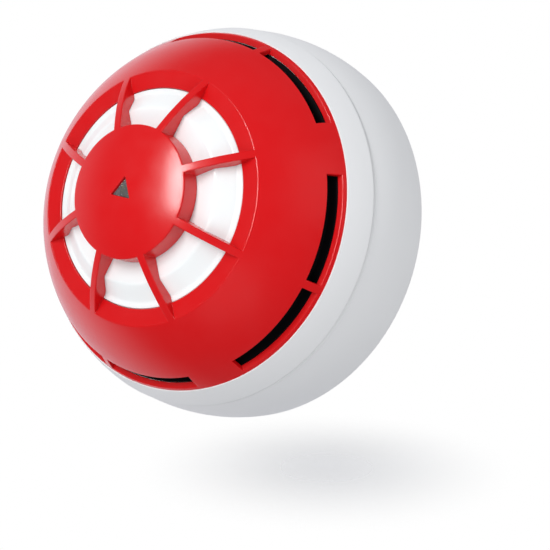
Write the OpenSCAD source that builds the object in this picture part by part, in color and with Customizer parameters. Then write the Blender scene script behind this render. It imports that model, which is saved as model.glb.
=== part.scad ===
// Wall-mounted sounder and strobe: a red domed head that twist-locks onto a deep white base.
// Local axis: z runs out of the wall, and stand_on_wall() turns it to face -Y with +Z up.
// Millimetres and degrees throughout. The wall face is at y = 0, centred on the origin.

/* [Overall] */
// Radius of the sphere that the base's outside follows
base_ball_r = 61.6; // [61.4:0.1:61.8]
// Radius of the sphere that the head's outside follows
dome_r = 61.8; // [61:0.1:62.5]
// Height of both spheres' centre over the wall
dome_z = 10.3; // [10:0.1:10.6]
// Height of the parting line between base and head
seam_z = 27.8; // [27.6:0.1:28]
// Height of the edge where the red dome meets the white body
rim_z = 37.1; // [36.9:0.1:37.3]
// Turn of the head's pattern about its axis
spoke_phase = 13; // [0:1:44]

/* [Red dome] */
// Wall of the dome shell
dome_t = 1.6; // [1.4:0.1:2.2]
// Radius of the centre cap
cap_r = 20.1; // [19:0.1:21]
// Outer radius of the windows
window_r = 33.4; // [33:0.1:33.8]
// Outer radius of the flat land round the windows
land_r = 38.6; // [38:0.1:39]
// Height of the land
land_z = 58.5; // [58.3:0.1:58.7]
// Width of each spoke
spoke_w = 2.4; // [1.8:0.1:3]
// Number of spokes
spoke_n = 8; // [8]
// Bottom of the sound slots
slot_low_z = 38.3; // [38.2:0.1:38.6]
// Top of the sound slots
slot_high_z = 42.9; // [42:0.1:43.2]
// Half of the arc that one pair of slots spans
slot_half_arc = 36.2; // [30:0.1:38]
// Rib between the two slots of a pair
slot_rib_w = 2.6; // [2:0.1:4]
// Corner radius point to centre of the triangular window
tri_r = 4.1; // [3.5:0.1:4.5]

/* [Lens] */
// Height of the lens front
lens_z = 62.4; // [62:0.1:62.6]
// Radius of the lens front
lens_front_r = 26.6; // [26:0.1:27]
// Radius at the foot of the lens flank
lens_foot_r = 31.4; // [31:0.1:31.8]
// Lens wall
lens_t = 1.7; // [1.4:0.1:1.8]

/* [Base] */
// Wall of the base
base_t = 2.4; // [2:0.1:2.4]
// Spacing of the two side fixing slots
fix_x = 56; // [54:0.5:58]
// Spacing of the upper and lower fixing slots
fix_y = 70; // [69:0.5:72]
// Length of a fixing slot, end to end
fix_slot = 9.5; // [8:0.5:10]
// Width of a fixing slot
fix_w = 4.5; // [4:0.1:5]
// Radius of the hole that the cable grommet sits in
entry_r = 10; // [9.5:0.1:10.5]
// Height of the cable entry's centre over the origin
entry_y = 15; // [14.5:0.1:15.5]
// Bore of the grommet
cable_r = 4; // [3:0.1:5]

/* [Bayonet] */
// Number of bayonet lugs
lug_n = 3; // [3]
// Half arc of each lug on the head
lug_half = 8; // [6:0.5:8]
// Half arc of each hook in the base
hook_half = 10; // [8:0.5:10]

/* [Switches] */
// Number of sliders on the mode switch
dip_n = 5; // [5]
// Distance from slider to slider
dip_pitch = 2.54; // [2.54]
// Travel of a slider
dip_travel = 1.2; // [0.8:0.1:1.3]

/* [Hidden] */
$fn = 96;

eps = 0.1;              // overlap that joins two shapes, and clearance between pieces
over_all = 80;          // a height above everything
spoke_angles = [for (i = [0 : spoke_n - 1]) spoke_phase + i * 360 / spoke_n];
window_angles = [for (a = spoke_angles) a + 180 / spoke_n];
pilot_r = 1.25;
post_r = 3;             // screw posts of the head
// Screws: radius of the shank, radius of the head, height of the head
terminal_screw = [1.5, 2.5, 2];
block_screw = [1.2, 2.3, 1.4];
cover_screw = [1.4, 2.6, 1.1];
board_screw = [1.2, 2.3, 1.3];
ear_screw = [1, 1.8, 1.2];
dome_screw = [1.5, 2.8, 2];
base_top_z = seam_z - 0.5;
base_ease = 0.5;        // how far its sharp edges are cut back
base_foot_r = sqrt(pow(base_ball_r, 2) - pow(dome_z, 2)) - base_ease;
base_top_r = sqrt(pow(base_ball_r, 2) - pow(base_top_z - dome_z, 2)) - base_ease;
base_in_r = 57.5;       // mouth of the base
hook_root_r = base_in_r + 1.3;
floor_t = 2.4;
pad_z = 4;              // top of the raised pads on the base floor

grommet_low_z = 0.2;
grommet_lip = 2.3;      // how far the lip reaches past the hole in the floor
grommet_lip_z = 1;
grommet_bead = 2;
grommet_wall = 2;
grommet_top_z = 7.5;
lock_z = 23.4;          // locking screw, through the left-hand side of the wall
lock_hole_r = 1.5;
lock_boss_r = 2.8;
lock_boss_h = 4;
lock_out_r = 59.2;
lock_key_r = 0.8;
lock_key_depth = 1.2;
knockout_z = 12.5;      // scored disc for a cable along the wall
knockout_r = 10.2;
knockout_groove = 0.6;
knockout_depth = 1.4;
block_pad_r = 3;

body_r = dome_r + 0.3;  // the white body stands a little proud of the red dome
body_low_z = seam_z + 0.3;
body_t = 2.4;
skirt_r = 54.2;
skirt_t = 2;
skirt_low_z = 16.6;
deck_z = 30;
deck_t = 2;
deck_r = 36;            // the flat of the deck, before it rises to the rim
spigot_r = 53;
spigot_z = 37.7;
spigot_in_r = 50.6;
ledge_low_z = rim_z - 1.8;

lug_r = 56.8;
lug_h = 2.6;
hook_in_r = 54.6;
hook_low_z = 19.6;
hook_high_z = 21.8;
hook_angles = [for (i = [0 : lug_n - 1]) 30 + i * 360 / lug_n];

cover_t = 2.2;
cover_r = 52;
cover_top_z = skirt_low_z + cover_t;
cover_post_r = 47.5;
cover_post_angles = [75, 195, 315];
cover_seat_z = skirt_low_z + 1.2;
cover_tip_z = 26;

board_z = 22;
board_t = 1.6;
board_r = 43.5;
board_top_z = board_z + board_t;
board_post_r = 34;
board_post_angles = [20, 140, 260];
board_tip_z = 27;
chip_at = [-12, -14];
chip_size = 9;
chip_pin_pitch = 1.1;
can_at = [[14, -16], [24, -10], [27, 4]];
can_r = 4;
can_h = 5.6;
coil_at = [-26, 12];
coil_r = 5.5;
coil_h = 4.9;

block_x = 46;
block_y = 14;
block_mid_y = -18;
block_top_z = 13;
way_pitch = 11;
way_x = [for (i = [0 : 3]) (i - 1.5) * way_pitch];
way_w = 6;
way_floor_z = 5.5;
way_top_z = 9.5;
way_screw_y = 2.5;
way_mouth_y = 4.5;
clamp_y = 5;
clamp_t = 0.7;
block_seat_z = 11;
spring_y = -4;
spring_w = 4;
spring_t = 0.5;
spring_low_z = 8.2;
spring_bend_z = 14;
spring_tip_z = 15.6;
pad_low_z = 15.9;
pad_mid_y = block_mid_y + 1;
pad_size = [5, 6];
pad_pin_r = 0.8;

dip_at = [-16, 8];      // centre of the mode switch
dip_x = dip_n * dip_pitch + 1.6;
dip_y = 6.6;
dip_low_z = 19.2;
dip_slot = [1.4, 1.4 + dip_travel + 1.2];
dip_knob = [1.2, 1.4];
trim_at = [17, 8];      // centre of the volume control
trim_size = 7;
trim_low_z = 19;
trim_hole_r = 5.6;
rotor_r = 2.4;
rotor_depth = 1.4;
rotor_slot_l = 3.8;
rotor_slot_w = 0.8;

link_at = [4, 30.5];
link_size = [13, 2.5];
link_n = 6;
link_shell_h = 2.8;
link_pitch = 2;
link_pin = 0.64;

piezo_r = 24.5;
piezo_z = 33.6;
piezo_t = 0.6;
ceramic_r = 15;
ceramic_t = 0.4;
chamber_in_r = 25;
chamber_r = 27;
chamber_top_z = 38.6;
chamber_t = 1.6;
chamber_mouth_r = 6;
ear_r = 29.4;
ear_pad_r = 2.8;
ear_angles = [30, 150, 270];

screen_foot_r = 53.1;   // the screen's foot lies on the spigot, its neck stands just inside the slots
screen_neck_r = 50.4;
screen_neck_in_r = 49.8;
screen_top_r = 49;
screen_top_in_r = 45.6;
screen_t = 0.5;
screen_low_z = spigot_z + 0.05;
carrier_z = 44.5;
screen_high_z = carrier_z - 0.05;
carrier_t = 2;
carrier_r = 46.8;
carrier_wall_r = 36.5;
carrier_wall_in_r = 34.5;
dome_post_r = 41.5;
dome_post_angles = [for (i = [0 : 3]) spoke_phase + 22.5 + i * 90];
strobe_z = 50;
strobe_r = 33.5;
strobe_top_z = strobe_z + board_t;
strobe_post_r = 30;
strobe_post_angles = [for (i = [0 : 3]) spoke_phase + i * 90];
led_ring_r = 22;
led_size = 5;
led_h = 1;
led_dome_r = 2;
foil_z = strobe_top_z + 0.2;
foil_t = 0.8;
foil_in_r = 4;
foil_foot_r = 26.2;
foil_rim_r = 29.2;
foil_rim_z = 55;
foil_hole_r = 3.6;
lamp_size = [3, 2.6];   // the indicator's LED
lamp_r = 1;
lamp_h = 1.4;

lens_foot_z = land_z - 0.3;
lens_rim_r = window_r - 0.2;
flange_r = 37;
flange_z = 56;
flange_low_z = 54.9;
land_low_z = land_z - 1.8;
slot_in_r = 48;
cap_wall = 2;
dome_tip_z = 49;
pipe_low_z = 53.2;
pipe_r = 2.4;
pipe_flange_z = 68.2;
pipe_flange_r = 5.1;
pipe_flange_t = 1.2;
pipe_top_z = 71.2;

// Turns a piece from its local axis to its place on the wall.
module stand_on_wall() rotate([90, 0, 0]) children();

// A straight cylinder between two heights.
module post(r, low, high) translate([0, 0, low]) cylinder(r = r, h = high - low);

// A square-edged ring between two heights.
module ring(r_in, r_out, low, high)
    rotate_extrude() translate([r_in, low]) square([r_out - r_in, high - low]);

// The part of a ring between two angles.
module ring_sector(r_in, r_out, low, high, from, to)
    rotate([0, 0, from]) rotate_extrude(angle = to - from)
        translate([r_in, low]) square([r_out - r_in, high - low]);

// A box centred in x and y, between two heights.
module slab(size_x, size_y, low, high)
    translate([-size_x / 2, -size_y / 2, low]) cube([size_x, size_y, high - low]);

// Copies its child to a radius at each angle.
module at_angles(angles, r) for (a = angles) rotate([0, 0, a]) translate([r, 0, 0]) children();

// A slotted screw along z: its head rests on seat_z and its shank runs from there to tip_z.
module screw(size, seat_z, tip_z) {
    r = size[0];
    head_r = size[1];
    head_h = size[2];
    up = tip_z > seat_z;
    head_low = up ? seat_z - head_h : seat_z;
    slot_low = up ? head_low - eps : head_low + head_h * 0.5;
    difference() {
        post(head_r, head_low, head_low + head_h);
        slab(head_r * 3, head_r * 0.35, slot_low, slot_low + head_h * 0.5 + eps);
    }
    post(r, min(seat_z, tip_z), max(seat_z, tip_z));
}

// Half of the section between the axis and a sphere's outline.
module sphere_section(r) intersection() {
    translate([0, dome_z]) circle(r = r);
    translate([0, -dome_r]) square([dome_r * 2, dome_r * 4]);
}

// Everything in a section between two heights.
module band(low, high) translate([-eps, low]) square([dome_r * 2, high - low]);

// ---- base ----
module fixing_slot(low, high) {
    for (s = [-1, 1]) translate([s * (fix_slot - fix_w) / 2, 0, 0]) post(fix_w / 2, low, high);
    slab(fix_slot - fix_w, fix_w, low, high);
}

module at_fixings() {
    for (s = [-1, 1]) translate([s * fix_x / 2, 0, 0]) children();
    for (s = [-1, 1]) translate([0, s * fix_y / 2, 0]) rotate([0, 0, 90]) children();
}

module base_shell() rotate_extrude() difference() {
    intersection() {
        sphere_section(base_ball_r);
        polygon([[0, 0], [base_foot_r, 0], [base_ball_r + 1, base_ball_r + 1 - base_foot_r],
            [base_ball_r + 1, base_top_z - base_ball_r - 1 + base_top_r], [base_top_r, base_top_z],
            [0, base_top_z]]);
    }
    intersection() {
        union() {
            sphere_section(base_ball_r - base_t);
            square([base_in_r, base_ball_r]);
        }
        band(floor_t, base_ball_r);
    }
}

module bayonet_hook() {
    ring_sector(hook_in_r, hook_root_r, hook_low_z, hook_high_z, -hook_half - 2, hook_half);
    ring_sector(hook_in_r, hook_root_r, skirt_low_z, hook_low_z + 0.5, -lug_half - 3, -lug_half - 0.6);
}

module at_block_screws()
    for (s = [-1, 1]) translate([s * way_pitch, block_mid_y, 0]) children();

// Places its child on the left-hand side of the wall of the base, pointing inwards.
module from_side(r, z) translate([-r, 0, z]) rotate([0, 90, 0]) children();

module base() color("white") stand_on_wall() difference() {
    union() {
        base_shell();
        for (a = hook_angles) rotate([0, 0, a]) bayonet_hook();
        at_fixings() slab(fix_slot + 5, fix_w + 5, floor_t - eps, pad_z);
        at_block_screws() post(block_pad_r, floor_t - eps, pad_z);
        intersection() {
            from_side(hook_root_r, lock_z) cylinder(r = lock_boss_r, h = lock_boss_h);
            ring(hook_in_r, hook_root_r, 0, base_top_z);
        }
    }
    at_fixings() fixing_slot(-1, pad_z + 1);
    translate([0, entry_y, 0]) post(entry_r, -1, floor_t + 1);
    translate([0, entry_y, 0]) post(entry_r + grommet_lip + 0.3, -1, grommet_lip_z + eps);
    at_block_screws() post(pilot_r, floor_t / 2, pad_z + 1);
    from_side(base_ball_r + 1, lock_z) cylinder(r = lock_hole_r, h = base_ball_r - hook_in_r + 3);
    from_side(base_ball_r + 1, knockout_z) difference() {
        cylinder(r = knockout_r, h = knockout_depth + 1);
        translate([0, 0, -1]) cylinder(r = knockout_r - knockout_groove, h = knockout_depth + 4);
    }
}

module cable_grommet() color("dimgray") stand_on_wall() translate([0, entry_y, 0]) rotate_extrude()
    polygon([[cable_r, grommet_low_z], [entry_r + grommet_lip, grommet_low_z],
        [entry_r + grommet_lip, grommet_lip_z], [entry_r - eps, grommet_lip_z],
        [entry_r - eps, floor_t + eps], [entry_r + grommet_bead, floor_t + eps],
        [entry_r + grommet_bead - 0.4, floor_t + 1.4], [cable_r + grommet_wall, grommet_top_z],
        [cable_r, grommet_top_z]]);

module terminal_block() color("ivory") stand_on_wall() translate([0, block_mid_y, 0]) difference() {
    slab(block_x, block_y, pad_z, block_top_z);
    for (x = way_x) translate([x, way_screw_y, 0])
        post(terminal_screw[1] + 0.2, way_floor_z + 1, block_top_z + 1);
    for (x = way_x) translate([x, way_mouth_y, 0]) slab(way_w, way_w, way_floor_z, way_top_z);
    for (x = way_x) translate([x, spring_y, 0]) slab(spring_w + 0.6, 4, spring_low_z - 0.2, block_top_z + 1);
    for (s = [-1, 1]) translate([s * way_pitch, 0, 0]) {
        post(block_screw[0] + 0.2, 0, block_top_z + 1);
        post(block_screw[1] + 0.3, block_seat_z, block_top_z + 1);
    }
}

module wire_clamps() color("silver") stand_on_wall() translate([0, block_mid_y, 0])
    for (x = way_x) translate([x, way_mouth_y - 0.3, 0])
        slab(way_w - 0.6, clamp_y, way_floor_z + 0.2, way_floor_z + 0.2 + clamp_t);

module terminal_screws() color("silver") stand_on_wall() translate([0, block_mid_y, 0])
    for (x = way_x) translate([x, way_screw_y, 0])
        screw(terminal_screw, way_top_z + 0.7, way_floor_z + 1);

module block_screws() color("silver") stand_on_wall() at_block_screws()
    screw(block_screw, block_seat_z, floor_t / 2 + 0.4);

// A strip that rises from its pocket, bends over and lies flat under its pad.
module contact_springs() color("goldenrod") stand_on_wall() translate([0, block_mid_y, 0])
    for (x = way_x) translate([x + spring_w / 2, spring_y, 0]) rotate([0, -90, 0]) linear_extrude(spring_w)
        polygon([[spring_low_z, -1.6], [spring_bend_z, -1.6], [spring_tip_z, 0], [spring_tip_z, 5],
            [spring_bend_z + 0.2, 7], [spring_bend_z - 0.2, 6.8], [spring_tip_z - spring_t, 4.8],
            [spring_tip_z - spring_t, 0.4], [spring_bend_z - 0.2, -1.1], [spring_low_z, -1.1]]);

module locking_screw() color("gray") stand_on_wall() translate([0, 0, lock_z]) rotate([0, -90, 0])
    difference() {
        post(lock_hole_r - 0.05, skirt_r + 0.3, lock_out_r);
        translate([0, 0, lock_out_r - lock_key_depth])
            cylinder(r = lock_key_r, h = lock_key_depth + 1, $fn = 6);
    }

// ---- head, outside ----
module seam_gasket() color("dimgray") stand_on_wall()
    ring(base_in_r + 0.2, base_top_r - 0.4, base_top_z + 0.05, body_low_z);

module body_section() {
    intersection() {
        difference() {
            sphere_section(body_r);
            sphere_section(body_r - body_t);
        }
        band(body_low_z, rim_z);
    }
    intersection() {
        sphere_section(body_r);
        union() {
            translate([skirt_r - skirt_t, body_low_z]) square([body_r, deck_t]);
            translate([spigot_in_r, ledge_low_z]) square([body_r, rim_z - ledge_low_z]);
        }
    }
    translate([skirt_r - skirt_t, skirt_low_z]) square([skirt_t, body_low_z - skirt_low_z + 1]);
    translate([spigot_in_r, ledge_low_z]) square([spigot_r - spigot_in_r, spigot_z - ledge_low_z]);
    translate([0, deck_z]) square([deck_r + eps, deck_t]);
    polygon([[deck_r, deck_z], [spigot_in_r + eps, ledge_low_z], [spigot_in_r + eps, ledge_low_z + deck_t],
        [deck_r, deck_z + deck_t]]);
}

module link_hole(low, high)
    translate([link_at.x, link_at.y, 0]) slab(link_size.x + 1.4, link_size.y + 0.9, low, high);

module sounder_body() color("white") stand_on_wall() difference() {
    union() {
        rotate_extrude() body_section();
        for (a = hook_angles)
            ring_sector(skirt_r - eps, lug_r, skirt_low_z, skirt_low_z + lug_h, a - lug_half, a + lug_half);
        at_angles(cover_post_angles, cover_post_r) post(post_r, cover_top_z, ledge_low_z - 0.5);
        at_angles(board_post_angles, board_post_r) post(post_r - 0.2, board_top_z, deck_z + eps);
        at_angles(dome_post_angles, dome_post_r) post(post_r, deck_z, carrier_z - 0.5);
    }
    at_angles(cover_post_angles, cover_post_r) post(cover_screw[0] + 0.05, cover_top_z - 1, cover_tip_z + 1);
    at_angles(board_post_angles, board_post_r) post(board_screw[0] + 0.05, board_top_z - 1, board_tip_z + 1);
    at_angles(dome_post_angles, dome_post_r) post(dome_screw[0] + 0.2, deck_z - 1, carrier_z + 1);
    at_angles(ear_angles, ear_r) post(ear_screw[0] + 0.05, deck_z - 1, deck_z + deck_t + 1);
    link_hole(deck_z - 1, deck_z + deck_t + 1);
}

// Eight windows between the cap and the land, leaving the spokes.
module window_sectors(r_in, r_out, low, high) difference() {
    ring(r_in, r_out, low, high);
    at_angles(spoke_angles, 0) translate([0, -spoke_w / 2, low - 1])
        cube([r_out + 5, spoke_w, high - low + 2]);
}

module dome_section() {
    difference() {
        intersection() {
            sphere_section(dome_r);
            band(rim_z, dome_z + dome_r + 1);
        }
        sphere_section(dome_r - dome_t);
    }
    intersection() {
        sphere_section(dome_r - dome_t / 2);
        union() {
            translate([window_r, land_low_z]) square([land_r - window_r + 1.5, land_z - land_low_z + 1]);
            translate([cap_r - cap_wall, flange_low_z]) square([cap_wall, over_all]);
        }
    }
}

// The space that the lens fills, with a little room round it.
module lens_room() rotate_extrude()
    polygon([[0, 0], [window_r - 0.02, 0], [window_r - 0.02, lens_foot_z + eps],
        [lens_foot_r + eps, lens_foot_z + eps], [lens_front_r + eps, lens_z + eps], [0, lens_z + eps]]);

module sound_slots() intersection() {
    ring(slot_in_r, dome_r, slot_low_z, slot_high_z);
    union() for (i = [0 : 3]) rotate([0, 0, spoke_phase + 45 + i * 90]) difference() {
        ring_sector(slot_in_r - 1, dome_r + 1, slot_low_z - 1, slot_high_z + 1, -slot_half_arc, slot_half_arc);
        translate([slot_in_r - 2, -slot_rib_w / 2, 0]) cube([dome_r, slot_rib_w, dome_r]);
    }
}

// A three-sided post with one corner on the line of a spoke.
module triangle(r, low, high)
    rotate([0, 0, spoke_phase + 60]) translate([0, 0, low]) cylinder(r = r, h = high - low, $fn = 3);

module red_dome() color("red") stand_on_wall() difference() {
    union() {
        rotate_extrude() dome_section();
        intersection() {
            rotate_extrude() sphere_section(dome_r - dome_t / 2);
            at_angles(spoke_angles, cap_r - cap_wall / 2)
                translate([0, -spoke_w / 2, land_low_z]) cube([window_r - cap_r + 4, spoke_w, over_all]);
        }
        intersection() {
            rotate_extrude() sphere_section(dome_r - dome_t / 2);
            at_angles(dome_post_angles, dome_post_r) post(post_r, carrier_z - 0.4, land_z);
        }
    }
    window_sectors(cap_r, window_r, 0, over_all);
    window_sectors(cap_r, land_r, land_z, over_all);
    lens_room();
    sound_slots();
    at_angles(dome_post_angles, dome_post_r) post(dome_screw[0] + 0.05, carrier_z - 1, dome_tip_z + 1);
    triangle(tri_r, lens_foot_z, over_all);
}

module lens() color("whitesmoke") stand_on_wall() difference() {
    rotate_extrude() polygon([[0, lens_z], [lens_front_r, lens_z], [lens_foot_r, lens_foot_z],
        [lens_rim_r, lens_foot_z], [lens_rim_r, flange_z], [flange_r, flange_z], [flange_r, flange_low_z],
        [lens_foot_r, flange_low_z], [lens_foot_r - 0.9, lens_foot_z - 1.4],
        [lens_front_r - 0.7, lens_z - lens_t], [0, lens_z - lens_t]]);
    post(pipe_r + 0.3, strobe_z, over_all);
}

module lens_seal() color("dimgray") stand_on_wall()
    ring(window_r + 0.6, flange_r - 0.4, flange_z, land_low_z - 0.02);

module light_pipe() color("lightgray") stand_on_wall() {
    post(pipe_r, pipe_low_z, pipe_flange_z + eps);
    post(pipe_flange_r, pipe_flange_z, pipe_flange_z + pipe_flange_t);
    triangle(tri_r - 0.15, pipe_flange_z + pipe_flange_t - eps, pipe_top_z);
}

// ---- head, inside ----
module rear_cover() color("white") stand_on_wall() difference() {
    post(cover_r, skirt_low_z, cover_top_z);
    at_angles(cover_post_angles, cover_post_r) post(cover_screw[0] + 0.15, 0, deck_z);
    at_angles(cover_post_angles, cover_post_r) post(cover_screw[1] + 0.4, 0, cover_seat_z);
    translate([dip_at.x, dip_at.y, 0]) slab(dip_x + 4, dip_y + 4, 0, deck_z);
    translate([trim_at.x, trim_at.y, 0]) post(trim_hole_r, 0, deck_z);
    for (x = way_x) translate([x, pad_mid_y, 0]) post(pad_pin_r + 0.05, 0, deck_z);
}

module cover_screws() color("silver") stand_on_wall()
    at_angles(cover_post_angles, cover_post_r) screw(cover_screw, cover_seat_z, cover_tip_z);

module contact_pads() color("goldenrod") stand_on_wall()
    for (x = way_x) translate([x, pad_mid_y, 0]) {
        slab(pad_size.x, pad_size.y, pad_low_z, skirt_low_z);
        post(pad_pin_r, skirt_low_z - eps, board_z);
    }

module main_board() color("darkgreen") stand_on_wall() difference() {
    post(board_r, board_z, board_top_z);
    at_angles(board_post_angles, board_post_r) post(board_screw[0] + 0.2, 0, deck_z);
}

module board_screws() color("silver") stand_on_wall()
    at_angles(board_post_angles, board_post_r) screw(board_screw, board_z, board_tip_z);

module controller_chip() color("black") stand_on_wall() translate([chip_at.x, chip_at.y, 0]) {
    slab(chip_size, chip_size, board_top_z + 0.2, board_top_z + 1.4);
    for (a = [0, 90, 180, 270]) rotate([0, 0, a]) for (i = [-3 : 3])
        translate([chip_size / 2 + 0.6, i * chip_pin_pitch, 0])
            slab(1.4, 0.5, board_top_z, board_top_z + 0.5);
}

module capacitors() color("slategray") stand_on_wall()
    for (p = can_at) translate([p.x, p.y, 0]) {
        slab(can_r * 2 + 0.4, can_r * 2 + 0.4, board_top_z, board_top_z + 0.8);
        post(can_r, board_top_z + 0.7, board_top_z + can_h);
    }

module boost_inductor() color("darkslategray") stand_on_wall() translate([coil_at.x, coil_at.y, 0]) {
    post(coil_r, board_top_z, board_top_z + 1);
    post(coil_r - 1.9, board_top_z + 0.9, board_top_z + coil_h - 0.9);
    post(coil_r, board_top_z + coil_h - 1, board_top_z + coil_h);
}

module at_dip(i) translate([dip_at.x + (i - (dip_n - 1) / 2) * dip_pitch, dip_at.y, 0]) children();

module dip_switch() color("royalblue") stand_on_wall() difference() {
    translate([dip_at.x, dip_at.y, 0]) slab(dip_x, dip_y, dip_low_z, board_z);
    for (i = [0 : dip_n - 1]) at_dip(i) slab(dip_slot.x, dip_slot.y, dip_low_z - 1, dip_low_z + 1.2);
}

// One slider, resting at the low end of its slot.
module dip_slider(i) color("white") stand_on_wall() at_dip(i - 1)
    translate([0, -dip_travel / 2, 0]) slab(dip_knob.x, dip_knob.y, dip_low_z - 0.9, dip_low_z + 1.1);

module dip_slider_1() dip_slider(1);
module dip_slider_2() dip_slider(2);
module dip_slider_3() dip_slider(3);
module dip_slider_4() dip_slider(4);
module dip_slider_5() dip_slider(5);

module trimmer_body() color("royalblue") stand_on_wall() translate([trim_at.x, trim_at.y, 0])
    difference() {
        slab(trim_size, trim_size, trim_low_z, board_z);
        post(rotor_r + 0.05, trim_low_z - 1, trim_low_z + rotor_depth + eps);
    }

module trimmer_rotor() color("white") stand_on_wall() translate([trim_at.x, trim_at.y, 0])
    difference() {
        post(rotor_r, trim_low_z - 0.6, trim_low_z + rotor_depth);
        slab(rotor_slot_l, rotor_slot_w, trim_low_z - 1, trim_low_z + eps);
        slab(rotor_slot_w, rotor_slot_l - 1.2, trim_low_z - 1, trim_low_z + eps);
    }

module board_link() color("black") stand_on_wall() translate([link_at.x, link_at.y, 0]) {
    slab(link_size.x, link_size.y, board_top_z, board_top_z + link_shell_h);
    slab(link_size.x, link_size.y, strobe_z - link_shell_h, strobe_z);
    for (i = [0 : link_n - 1]) translate([(i - (link_n - 1) / 2) * link_pitch, 0, 0])
        slab(link_pin, link_pin, board_top_z + link_shell_h - eps, strobe_z - link_shell_h + eps);
}

module piezo_foam() color("dimgray") stand_on_wall() ring(piezo_r - 3, piezo_r, deck_z + deck_t, piezo_z);

module piezo_disc() color("gold") stand_on_wall() post(piezo_r, piezo_z, piezo_z + piezo_t);

module piezo_ceramic() color("gainsboro") stand_on_wall()
    post(ceramic_r, piezo_z + piezo_t, piezo_z + piezo_t + ceramic_t);

module tone_chamber() color("black") stand_on_wall() difference() {
    union() {
        ring(chamber_in_r, chamber_r, deck_z + deck_t, chamber_top_z);
        ring(chamber_mouth_r, chamber_r, chamber_top_z - chamber_t, chamber_top_z);
        at_angles(ear_angles, ear_r) post(ear_pad_r, deck_z + deck_t, deck_z + deck_t + chamber_t);
        at_angles(ear_angles, ear_r - 2) slab(3, ear_pad_r * 2, deck_z + deck_t, deck_z + deck_t + chamber_t);
    }
    at_angles(ear_angles, ear_r) post(ear_screw[0] + 0.1, 0, over_all);
    post(chamber_in_r, deck_z, chamber_top_z - chamber_t);
}

module chamber_screws() color("silver") stand_on_wall()
    at_angles(ear_angles, ear_r)
        screw(ear_screw, deck_z + deck_t + chamber_t, deck_z + 0.2);

module sound_screen() color("black") stand_on_wall() rotate_extrude()
    polygon([[screen_neck_in_r, screen_low_z], [screen_foot_r, screen_low_z],
        [screen_foot_r, screen_low_z + screen_t], [screen_neck_r, screen_low_z + screen_t],
        [screen_top_r, screen_high_z], [screen_top_in_r, screen_high_z],
        [screen_top_in_r, screen_high_z - screen_t], [screen_top_r - screen_t, screen_high_z - screen_t]]);

module strobe_carrier() color("black") stand_on_wall() difference() {
    union() {
        post(carrier_r, carrier_z, carrier_z + carrier_t);
        ring(carrier_wall_in_r, carrier_wall_r, carrier_z + 1, flange_low_z);
        at_angles(strobe_post_angles, strobe_post_r) post(post_r, carrier_z + 1, strobe_z);
    }
    at_angles(dome_post_angles, dome_post_r) post(post_r + 0.4, 0, over_all);
    at_angles(strobe_post_angles, strobe_post_r) post(board_screw[0] + 0.05, carrier_z + 0.6, over_all);
    link_hole(carrier_z - 1, carrier_z + carrier_t + 1);
}

module strobe_board() color("white") stand_on_wall() difference() {
    post(strobe_r, strobe_z, strobe_top_z);
    at_angles(strobe_post_angles, strobe_post_r) post(board_screw[0] + 0.2, 0, over_all);
}

module strobe_screws() color("silver") stand_on_wall()
    at_angles(strobe_post_angles, strobe_post_r)
        screw(board_screw, strobe_top_z, carrier_z + 1);

module strobe_leds() color("lightyellow") stand_on_wall()
    at_angles(window_angles, led_ring_r) {
        slab(led_size, led_size, strobe_top_z, strobe_top_z + led_h);
        translate([0, 0, strobe_top_z + led_h - eps]) intersection() {
            sphere(r = led_dome_r);
            post(led_dome_r + eps, 0, led_dome_r + 1);
        }
    }

module reflector() color("silver") stand_on_wall() difference() {
    rotate_extrude() polygon([[foil_in_r, foil_z], [foil_foot_r, foil_z], [foil_rim_r, foil_rim_z],
        [foil_rim_r - 0.6, foil_rim_z + 0.5], [foil_foot_r - 0.4, foil_z + foil_t],
        [foil_in_r, foil_z + foil_t]]);
    at_angles(window_angles, led_ring_r) post(foil_hole_r, strobe_z, land_z);
}

module indicator_led() color("gold") stand_on_wall() {
    slab(lamp_size.x, lamp_size.y, strobe_top_z, strobe_top_z + 0.6);
    post(lamp_r, strobe_top_z + 0.5, strobe_top_z + lamp_h);
}

module dome_screws() color("silver") stand_on_wall()
    at_angles(dome_post_angles, dome_post_r)
        screw(dome_screw, deck_z, dome_tip_z);

base();
cable_grommet();
terminal_block();
terminal_screws();
wire_clamps();
contact_springs();
block_screws();
locking_screw();
seam_gasket();
sounder_body();
rear_cover();
cover_screws();
contact_pads();
main_board();
board_screws();
controller_chip();
capacitors();
boost_inductor();
dip_switch();
dip_slider_1();
dip_slider_2();
dip_slider_3();
dip_slider_4();
dip_slider_5();
trimmer_body();
trimmer_rotor();
board_link();
piezo_foam();
piezo_disc();
piezo_ceramic();
tone_chamber();
chamber_screws();
sound_screen();
strobe_carrier();
strobe_board();
strobe_screws();
strobe_leds();
reflector();
indicator_led();
light_pipe();
lens();
lens_seal();
red_dome();
dome_screws();
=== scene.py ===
"""A wall-mounted sounder and strobe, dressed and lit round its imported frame.

The red dome, the lens and the light pipe are worked out afresh as numpy surfaces with rounded
edges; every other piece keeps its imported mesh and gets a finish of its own. Shapes are worked out in
millimetres on the maker's axes, with z out of the wall, and turned into the frame's metres last.
"""

import logging
import math
from dataclasses import dataclass, field
from enum import Enum
from typing import Callable, Sequence

import bmesh
import bpy
import numpy as np
from mathutils import Matrix, Vector
from numpy.typing import NDArray


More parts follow.
